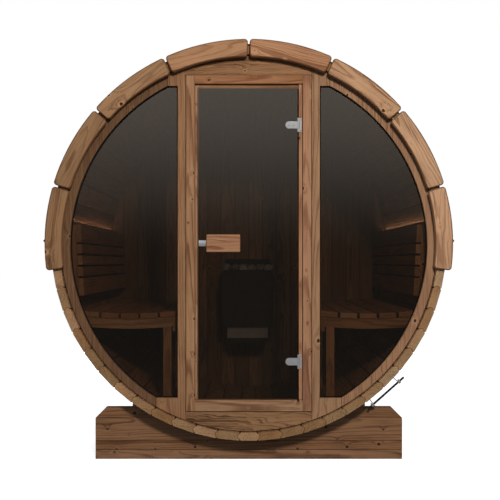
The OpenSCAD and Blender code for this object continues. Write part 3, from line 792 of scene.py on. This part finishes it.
def screw_head(radius, height):
    """A low domed head with a round recess, standing on Z = 0."""
    dome = [(radius, 0), (radius, 0.35 * height), (0.9 * radius, 0.75 * height),
            (0.7 * radius, 0.95 * height), (0.5 * radius, height)]
    bm = bmesh.new()
    verts, faces = revolved(dome)
    made = [bm.verts.new(v) for v in verts]
    for face in faces:
        bm.faces.new([made[k] for k in face])
    top = max(bm.faces, key=lambda f: f.calc_center_median().z)
    bmesh.ops.inset_region(bm, faces=[top], thickness=0.08 * radius)
    bmesh.ops.translate(bm, verts=top.verts, vec=(0, 0, -0.55 * height))
    return mesh_of(bm, "screw")


def joined(name, parts):
    """One mesh from (mesh, matrix) pairs."""
    bm = bmesh.new()
    for mesh, matrix in parts:
        start = len(bm.verts)
        bm.from_mesh(mesh)
        bm.verts.ensure_lookup_table()
        bmesh.ops.transform(bm, matrix=matrix, verts=bm.verts[start:])
    return mesh_of(bm, name)


# ---- hinges and latch ----


def hinges():
    """Clips, knuckles and plates, with screws in the clips and the plates."""
    for node in ("hinge_top", "hinge_bottom", "hinge_plates"):
        eased(node, 0.0006)
    head = screw_head(0.0035, 0.0016)
    clip_screws = (0.018, 0.042)
    plate_t, plate_edge, plate_reach = 0.003, 0.006, 0.028
    plate_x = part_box("hinge_plates")[1].x - plate_edge
    plate_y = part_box("door_stops")[0].y - plate_t
    plate_parts = []
    for node in ("hinge_top", "hinge_bottom"):
        low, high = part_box(node)
        z = (low.z + high.z) / 2
        parts = [(head, turned_to(-INTO, Vector((low.x + dx, low.y, z)))) for dx in clip_screws]
        add_piece(node + "_screws", joined(node + "_screws", parts), "steel", "door")
        plate_parts += [(head, turned_to(-INTO, Vector((plate_x, plate_y, z + dz))))
                        for dz in (-plate_reach, plate_reach)]
    add_piece("hinge_plate_screws", joined("hinge_plate_screws", plate_parts), "steel", "root")


def latch():
    """A roller catch: its body has fine grooves across the front."""
    low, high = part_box("door_latch")
    grooves, depth = 5, 0.0012
    strips = 2 * grooves + 1
    step = (high.x - low.x) / strips
    outline = []
    for k in range(strips):
        y = low.y + (depth if k % 2 else 0.0)
        outline += [(low.x + k * step, y), (low.x + (k + 1) * step, y)]
    outline += [(high.x, high.y), (low.x, high.y)]
    verts = [(x, y, z) for z in (low.z, high.z) for x, y in outline]
    bm = bmesh_from(verts, skin(2, len(outline)))
    ease_edges(bm, 0.0005)
    mesh = mesh_of(bm, "door_latch_body")
    add_piece("door_latch_body", mesh, "steel", "door", ["door_latch"])


# ---- glass ----


def panes():
    for node in ("side_glass_left", "side_glass_right", "door_glass"):
        eased(node, 0.001)


def loop_of_front(node):
    """The outline of a pane's front face, in order."""
    bm = cad_copy(node)
    front = min(bm.faces, key=lambda f: (round(f.calc_center_median().y, 5), -f.calc_area()))
    points = [v.co.copy() for v in front.verts]
    bm.free()
    return points


def inset_loop(points, distance):
    """An outline in XZ drawn in by a distance."""
    area = sum(a.x * b.z - b.x * a.z for a, b in zip(points, points[1:] + points[:1]))
    side = 1 if area > 0 else -1
    moved = []
    count = len(points)
    for k, p in enumerate(points):
        before = (p - points[k - 1]).normalized()
        after = (points[(k + 1) % count] - p).normalized()
        n1 = Vector((-before.z, 0, before.x)) * side
        n2 = Vector((-after.z, 0, after.x)) * side
        bisector = (n1 + n2).normalized()
        moved.append(p + bisector * distance / max(0.3, bisector.dot(n1)))
    return moved


# Black rubber pieces: real seals round the glass, and dark strips that paint the shade in joints.
def seal(name, verts, faces):
    add_piece(name, mesh_of(bmesh_from(verts, faces), name), "seal", "root")


def seals():
    """A black rubber bead round the front of each side glass, from under the wood that
    bites over the glass, up to a crest and down to a thin lip."""
    bite, tuck, bead = 0.008, 0.0015, 0.0055
    foot, back_h, crest_h, lip_h = 0.0003, 0.0032, 0.0038, 0.002
    for side in ("left", "right"):
        outer = loop_of_front("side_glass_" + side)
        hidden = inset_loop(outer, bite - tuck)
        shown = inset_loop(outer, bite + bead)
        crest = inset_loop(outer, bite + bead * 0.4)
        y = outer[0].y
        rows = [(hidden, foot), (hidden, back_h), (crest, crest_h), (shown, lip_h), (shown, foot)]
        verts = [(p.x, y - height, p.z) for loop, height in rows for p in loop]
        seal("glass_seal_" + side, verts, skin(len(rows), len(outer), ring=True))


def stave_reach():
    """The inner radius of the staves."""
    return min(math.hypot(v.co.x, v.co.z - AXIS_Z) for v in NODES["staves_crown"].data.vertices
               if abs(v.co.y) > -FASCIA_BACK_Y - 0.002)


def stave_notches(inner):
    """The notches inside the stave joints, as (angle, half angle) about the axis."""
    spans = []
    for node in NODES:
        if node.startswith("staves_"):
            bm = cad_copy(node)
            for group in islands(bm):
                middle_x = sum(v.co.x for v in group) / len(group)
                middle_z = sum(v.co.z for v in group) / len(group) - AXIS_Z
                turn = math.atan2(middle_z, middle_x)
                angles = [math.remainder(math.atan2(v.co.z - AXIS_Z, v.co.x) - turn, 2 * math.pi)
                          for v in group
                          if math.hypot(v.co.x, v.co.z - AXIS_Z) < inner + 0.0006]
                spans.append((turn + min(angles), turn + max(angles)))
            bm.free()
    spans.sort()
    after = spans[1:] + [(spans[0][0] + 2 * math.pi, 0)]
    return [((a[1] + b[0]) / 2, (b[0] - a[1]) / 2) for a, b in zip(spans, after)]


def shadow_gap_strips():
    """A dark strip lies where each end wall meets the staves, pressed into the notches between them:
    painted shade for the shadow in that joint."""
    inner = stave_reach()
    width, poke, thick = 0.0032, 0.0046, 0.002
    steps = 5
    notches = stave_notches(inner)
    spots = []
    for (a, half), (b, _) in zip(notches, notches[1:] + [(notches[0][0] + 2 * math.pi, 0)]):
        spots += [(a - 0.92 * half, -HAIR), (a, poke), (a + 0.92 * half, -HAIR)]
        spots += [(a + (b - a) * k / steps, -HAIR) for k in range(1, steps)]
    spots.sort()
    for name, face, way in (("front", WALL_FRONT_Y, -1),
                            ("back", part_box("back_wall_middle")[1].y, 1)):
        verts = []
        for angle, reach in spots:
            section = ((inner - width, HAIR), (inner - width, HAIR + thick),
                       (inner + reach, HAIR + thick), (inner + reach, HAIR))
            verts += [(r * math.cos(angle), face + way * depth, AXIS_Z + r * math.sin(angle))
                      for r, depth in section]
        seal("joint_cord_" + name, verts, skin(len(spots), 4, ring=True))


def frame_shadow_bead():
    """A dark bead round the door frame where it meets the end wall: painted shade for the shadow in
    that joint.
    """
    low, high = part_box("door_frame")
    half, crown, rise = 0.0032, 0.6, 0.0008
    verts = []
    for grow, height in ((half, 0.0), (half * crown, rise), (-half * crown, rise), (-half, 0.0)):
        y = WALL_FRONT_Y - HAIR - height
        verts += [(low.x - grow, y, low.z - grow), (high.x + grow, y, low.z - grow),
                  (high.x + grow, y, high.z + grow), (low.x - grow, y, high.z + grow)]
    seal("door_frame_bead", verts, skin(4, 4, ring=True))


def door_gasket():
    """A soft black seal strip on the stops behind the leaf's edge, 2.6 mm short of the glass, which
    also paints the dark shadow line round the glass, and a black strip between the hinge strip and
    the jamb that is painted shade in that joint."""
    bm = cad_copy("door_stops")
    boards = [bounds_of([v.co for v in group]) for group in islands(bm)]
    bm.free()
    left = min(boards, key=lambda b: b[0].x)
    strip = max(boards, key=lambda b: b[0].x)
    top = max(boards, key=lambda b: b[1].x - b[0].x)
    wide, thick, gap = 0.0042, 0.0024, 0.0001
    joint_w, joint_t = 0.0022, 0.0008
    y = left[0].y
    spans = [((left[1].x - wide, y - thick, left[0].z + gap), (left[1].x, y - gap, top[0].z + wide)),
             ((left[1].x + gap, y - thick, top[0].z), (strip[0].x - gap, y - gap, top[0].z + wide)),
             ((strip[1].x - joint_w, strip[0].y - joint_t, strip[0].z + gap),
              (strip[1].x, strip[0].y - gap, strip[1].z - gap))]
    parts = [(mesh_of(block(low, high, 0.0003, 1), "gasket"), Matrix()) for low, high in spans]
    add_piece("door_gasket", joined("door_gasket", parts), "seal", "root")


# ---- roof ----


def roof():
    """The felt, with an upper sheet lapped over the two lower ones and nailed."""
    eased("roof_cover", 0.0008, 1)
    low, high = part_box("roof_cover")
    radius = high.z - AXIS_Z
    lap, thick, margin, steps = math.radians(34), 0.0014, 0.001, 48
    section = [(radius + HAIR / 2, low.y + margin), (radius + HAIR / 2, high.y - margin),
               (radius + thick, high.y - margin), (radius + thick, low.y + margin)]
    angles = [-lap + 2 * lap * k / steps for k in range(steps + 1)]
    verts = [(r * math.sin(a), y, AXIS_Z + r * math.cos(a)) for a in angles for r, y in section]
    mesh = mesh_of(bmesh_from(verts, skin(len(angles), len(section))), "felt_lap")
    add_piece("felt_lap", mesh, "roof_felt", "root")
    nail = screw_head(0.0045, 0.001)
    count, end_gap, edge_gap = 17, 0.04, math.radians(1.4)
    parts = []
    for a in (edge_gap - lap, lap - edge_gap):
        out = Vector((math.sin(a), 0, math.cos(a)))
        for k in range(count):
            y = low.y + end_gap + (high.y - low.y - 2 * end_gap) * k / (count - 1)
            spot = Vector((0, y, AXIS_Z)) + out * (radius + thick)
            parts.append((nail, turned_to(out, spot)))
    add_piece("felt_nails", joined("felt_nails", parts), "steel", "root")
    eased("drip_edge_left", 0.0003, 1)
    eased("drip_edge_right", 0.0003, 1)


# ---- bands ----


def rod_axis(points):
    """The middle of a rod with nuts on it, and the direction along it."""
    tip_size = 0.009
    low, high = bounds_of(points)
    centre = (low + high) / 2
    far = max(points, key=lambda p: (p - centre).length)
    tip = [p for p in points if (p - far).length < tip_size]
    return centre, (sum(tip, Vector()) / len(tip) - centre).normalized()


def threaded_rod(half, radius, pitch, turns=18, rows_per_turn=5):
    """A rod with a real helical thread, along Z, closed by blunt tapered ends."""
    rows = int(2 * half / pitch * rows_per_turn)
    depth = 0.55 * pitch
    verts = []
    for i in range(rows + 1):
        z = -half + 2 * half * i / rows
        taper = min(1.0, (half - abs(z)) / (1.5 * pitch) + 0.72)
        for k in range(turns):
            turn = k / turns
            phase = (z / pitch - turn) % 1.0
            r = (radius - depth * abs(2 * phase - 1) ** 1.2) * taper
            verts.append((r * math.cos(2 * math.pi * turn), r * math.sin(2 * math.pi * turn), z))
    return mesh_from("rod", verts, skin(rows + 1, turns))


def hex_nut(radius, height, turns=36):
    """A hexagon nut with chamfered corners, standing on Z = 0."""
    flat = math.cos(math.pi / 6)
    levels = [(0.88, 0), (1.0, 0.12), (1.0, 0.88), (0.88, 1.0)]
    verts = []
    for share, level in levels:
        for k in range(turns):
            a = 2 * math.pi * k / turns
            off_flat = (a + math.pi / 6) % (math.pi / 3) - math.pi / 6
            r = radius * min(flat / math.cos(off_flat), share)
            verts.append((r * math.cos(a), r * math.sin(a), level * height))
    return mesh_from("nut", verts, skin(len(levels), turns))


def bands():
    """The CAD's straps, and a threaded rod with nuts in place of each plain one."""
    washer_t, pitch = 0.0012, 0.0015
    for node in ("band_front", "band_back"):
        bm = cad_copy(node)
        lowest = min(islands(bm), key=lambda group: max(v.co.z for v in group))
        points = [v.co.copy() for v in lowest]
        bm.free()
        centre, along = rod_axis(points)
        heights = [(p - centre).dot(along) for p in points]
        radii = [((p - centre) - along * h).length for p, h in zip(points, heights)]
        nut_r = max(radii)
        rod_r = nut_r / 2
        nut_ends = [h for h, r in zip(heights, radii) if r > 0.9 * nut_r and h > 0]
        nut_low = min(nut_ends)
        eased(node, 0.0004, 1, keep=lambda group: max(v.co.z for v in group) > AXIS_Z)

        turn, flip = (turned_to(way, centre) for way in (along, -along))
        rod = joined(node + "_rod", [(threaded_rod(max(heights), rod_r, pitch), turn)])
        add_piece(node + "_rod", rod, "black_rod", "root")
        nut = hex_nut(nut_r, max(nut_ends) - nut_low)
        disc = [(1.05 * nut_r, 0), (1.05 * nut_r, washer_t), (rod_r, washer_t)]
        washer = mesh_from("washer", *revolved(disc, 32))
        parts = []
        for way in (turn, flip):
            parts.append((nut, way @ Matrix.Translation((0, 0, nut_low + washer_t))))
            parts.append((washer, way @ Matrix.Translation((0, 0, nut_low))))
        add_piece(node + "_nuts", joined(node + "_nuts", parts), "steel", "root")


# ---- heater ----


def heater():
    eased("heater_casing", 0.0012)
    eased("heater_panel", 0.0006)
    stones(*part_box("heater_stones"))


def stone_mesh(draw, radius, detail):
    """A rounded, faceted rock about the origin."""
    bm = bmesh.new()
    bmesh.ops.create_icosphere(bm, subdivisions=detail, radius=1.0)
    offset = Vector((draw.uniform(-50, 50), draw.uniform(-50, 50), draw.uniform(-50, 50)))
    squash = Vector((draw.uniform(0.85, 1.15), draw.uniform(0.8, 1.1), draw.uniform(0.62, 0.9)))
    planes = []
    for _ in range(9):
        planes.append((Vector([draw.gauss(0, 1) for _ in range(3)]).normalized(),
                       draw.uniform(0.72, 0.95)))
    for vert in bm.verts:
        p = vert.co.normalized()
        for normal, reach in planes:
            over = p.dot(normal) - reach
            if over > 0:
                p = p - normal * over * 0.9
        p = p * (1 + 0.09 * noise.noise(p * 1.6 + offset) + 0.03 * noise.noise(p * 6 + offset))
        vert.co = Vector((p.x * squash.x, p.y * squash.y, p.z * squash.z)) * radius
    turn = Matrix.Rotation(draw.uniform(0, 6.28), 4, Vector(
        [draw.gauss(0, 0.5), draw.gauss(0, 0.5), 1]).normalized())
    bmesh.ops.transform(bm, matrix=turn, verts=bm.verts)
    return bm


def stones(low, high):
    """Loose stones heaped in the casing, kept inside the CAD stones' box."""
    draw = random.Random("stones")
    layers, layer_h, sway, sink = 3, 0.048, 0.006, 0.016
    whole = bmesh.new()
    traits = whole.verts.layers.float_vector.new("board")
    for layer in range(layers):
        top = high.z - layer * layer_h
        columns, rows = (6, 5) if layer % 2 == 0 else (5, 4)
        pitch_x = (high.x - low.x) / columns
        pitch_y = (high.y - low.y) / rows
        for i in range(columns):
            for j in range(rows):
                radius = draw.uniform(0.029, 0.036)
                bm = stone_mesh(draw, radius, 3 if layer == 0 else 2)
                where = Vector((low.x + (i + 0.5) * pitch_x + draw.uniform(-sway, sway),
                                low.y + (j + 0.5) * pitch_y + draw.uniform(-sway, sway),
                                top - radius + draw.uniform(-sink, 0.0)))
                for k in range(3):
                    reach = max(abs(v.co[k]) for v in bm.verts)
                    where[k] = min(max(where[k], low[k] + reach), high[k] - reach)
                tone = draw.random()
                mesh = bpy.data.meshes.new("stone")
                bmesh.ops.translate(bm, verts=bm.verts, vec=where)
                bm.to_mesh(mesh)
                bm.free()
                start = len(whole.verts)
                whole.from_mesh(mesh)
                bpy.data.meshes.remove(mesh)
                whole.verts.ensure_lookup_table()
                for vert in whole.verts[start:]:
                    vert[traits] = Vector((tone, 0, 0))
    mesh = bpy.data.meshes.new("heater_rocks")
    whole.to_mesh(mesh)
    whole.free()
    for face in mesh.polygons:
        face.use_smooth = True
    add_piece("heater_rocks", mesh, "stones", "root", ["heater_stones"])


# ---- stage ----


def floor():
    turns = 96
    reach = 60.0
    verts = [(0, 0, 0)] + [(reach * math.cos(2 * math.pi * k / turns),
                            reach * math.sin(2 * math.pi * k / turns), 0) for k in range(turns)]
    faces = [(0, 1 + k, 1 + (k + 1) % turns) for k in range(turns)]
    mesh = mesh_from("floor", verts, faces)
    ground = bpy.data.objects.new("floor", mesh)
    bpy.context.scene.collection.objects.link(ground)
    g = Graph("floor_paint")
    cloud = g.noise(g.place(), 1.2, 2.0)
    mesh.materials.append(g.finish({
        "Base Color": g.mix(cloud, grey(0.9), grey(0.93)), "Roughness": 0.8,
        "Specular IOR Level": 0.1, "Emission Color": grey(1.0), "Emission Strength": 0.72}))
    ground.visible_diffuse = False
    ground.visible_glossy = False


def area_light(name, place, target, size, power, colour):
    data = bpy.data.lights.new(name, "AREA")
    data.size = size
    data.energy = power
    data.color = colour
    lamp = bpy.data.objects.new(name, data)
    lamp.matrix_world = turned_to(Vector(place) - Vector(target), Vector(place))
    lamp.visible_camera = False
    lamp.visible_glossy = False
    bpy.context.scene.collection.objects.link(lamp)
    return lamp


def lights():
    """A soft lamp above and a little to the right of the camera, and one behind."""
    area_light("key", (0.6, FRONT_Y - 4.0, 2.75), (0, FRONT_Y, AXIS_Z), 0.5, 162,
               (1, 0.97, 0.93))
    area_light("rear", (-1.6, 4.6 - FRONT_Y, 2.6), (0, 0, AXIS_Z), 1.4, 130, (1, 0.98, 0.96))


def world():
    """White behind the object. Rough surfaces are lit a little more from above;
    mirrors see a pale room that darkens towards the floor."""
    made = bpy.data.worlds.new("studio")
    bpy.context.scene.world = made
    made.use_nodes = True
    tree = made.node_tree
    tree.nodes.clear()

    def put(kind, **settings):
        node = tree.nodes.new("ShaderNode" + kind)
        for key, value in settings.items():
            setattr(node, key, value)
        return node

    towards = put("TexCoord").outputs["Generated"]
    parts = put("SeparateXYZ")
    tree.links.new(towards, parts.inputs[0])
    path = put("LightPath")
    shown = None
    for kind, colour, levels in (("", (0.97, 0.98, 1, 1), (-1.0, 1.0, 0.11, 0.33)),
                                 ("Is Glossy Ray", grey(1.0), (0.0, 0.22, 0.05, 0.55)),
                                 ("Is Camera Ray", grey(1.0), (-1.0, 1.0, 1.0, 1.0))):
        light = put("Background")
        light.inputs[0].default_value = colour
        level = put("MapRange", interpolation_type="SMOOTHSTEP")
        tree.links.new(parts.outputs[2], level.inputs["Value"])
        for key, value in zip(("From Min", "From Max", "To Min", "To Max"), levels):
            level.inputs[key].default_value = value
        tree.links.new(level.outputs[0], light.inputs[1])
        if shown is None:
            shown = light.outputs[0]
            continue
        mix = put("MixShader")
        tree.links.new(path.outputs[kind], mix.inputs[0])
        tree.links.new(shown, mix.inputs[1])
        tree.links.new(light.outputs[0], mix.inputs[2])
        shown = mix.outputs[0]
    tree.links.new(shown, put("OutputWorld").inputs[0])


def camera():
    """Straight in front, a little below the barrel's axis."""
    distance, drop = 4.4, 0.095
    width_seen = 2.5135
    sensor = 36.0
    data = bpy.data.cameras.new("camera")
    data.sensor_width = sensor
    data.lens = sensor * distance / width_seen
    data.shift_x = 0.0024
    data.shift_y = 0.024
    data.dof.use_dof = False
    eye = bpy.data.objects.new("camera", data)
    eye.location = (0, FRONT_Y - distance, AXIS_Z - drop)
    eye.rotation_euler = (math.pi / 2, 0, 0)
    bpy.context.scene.collection.objects.link(eye)
    bpy.context.scene.camera = eye


camera()
world()
lights()
floor()
barrel()
fascias()
end_walls()
door_wood()
supports()
benches()
hinges()
latch()
panes()
seals()
frame_shadow_bead()
door_gasket()
shadow_gap_strips()
roof()
bands()
heater()

bpy.context.scene.view_settings.view_transform = "Standard"
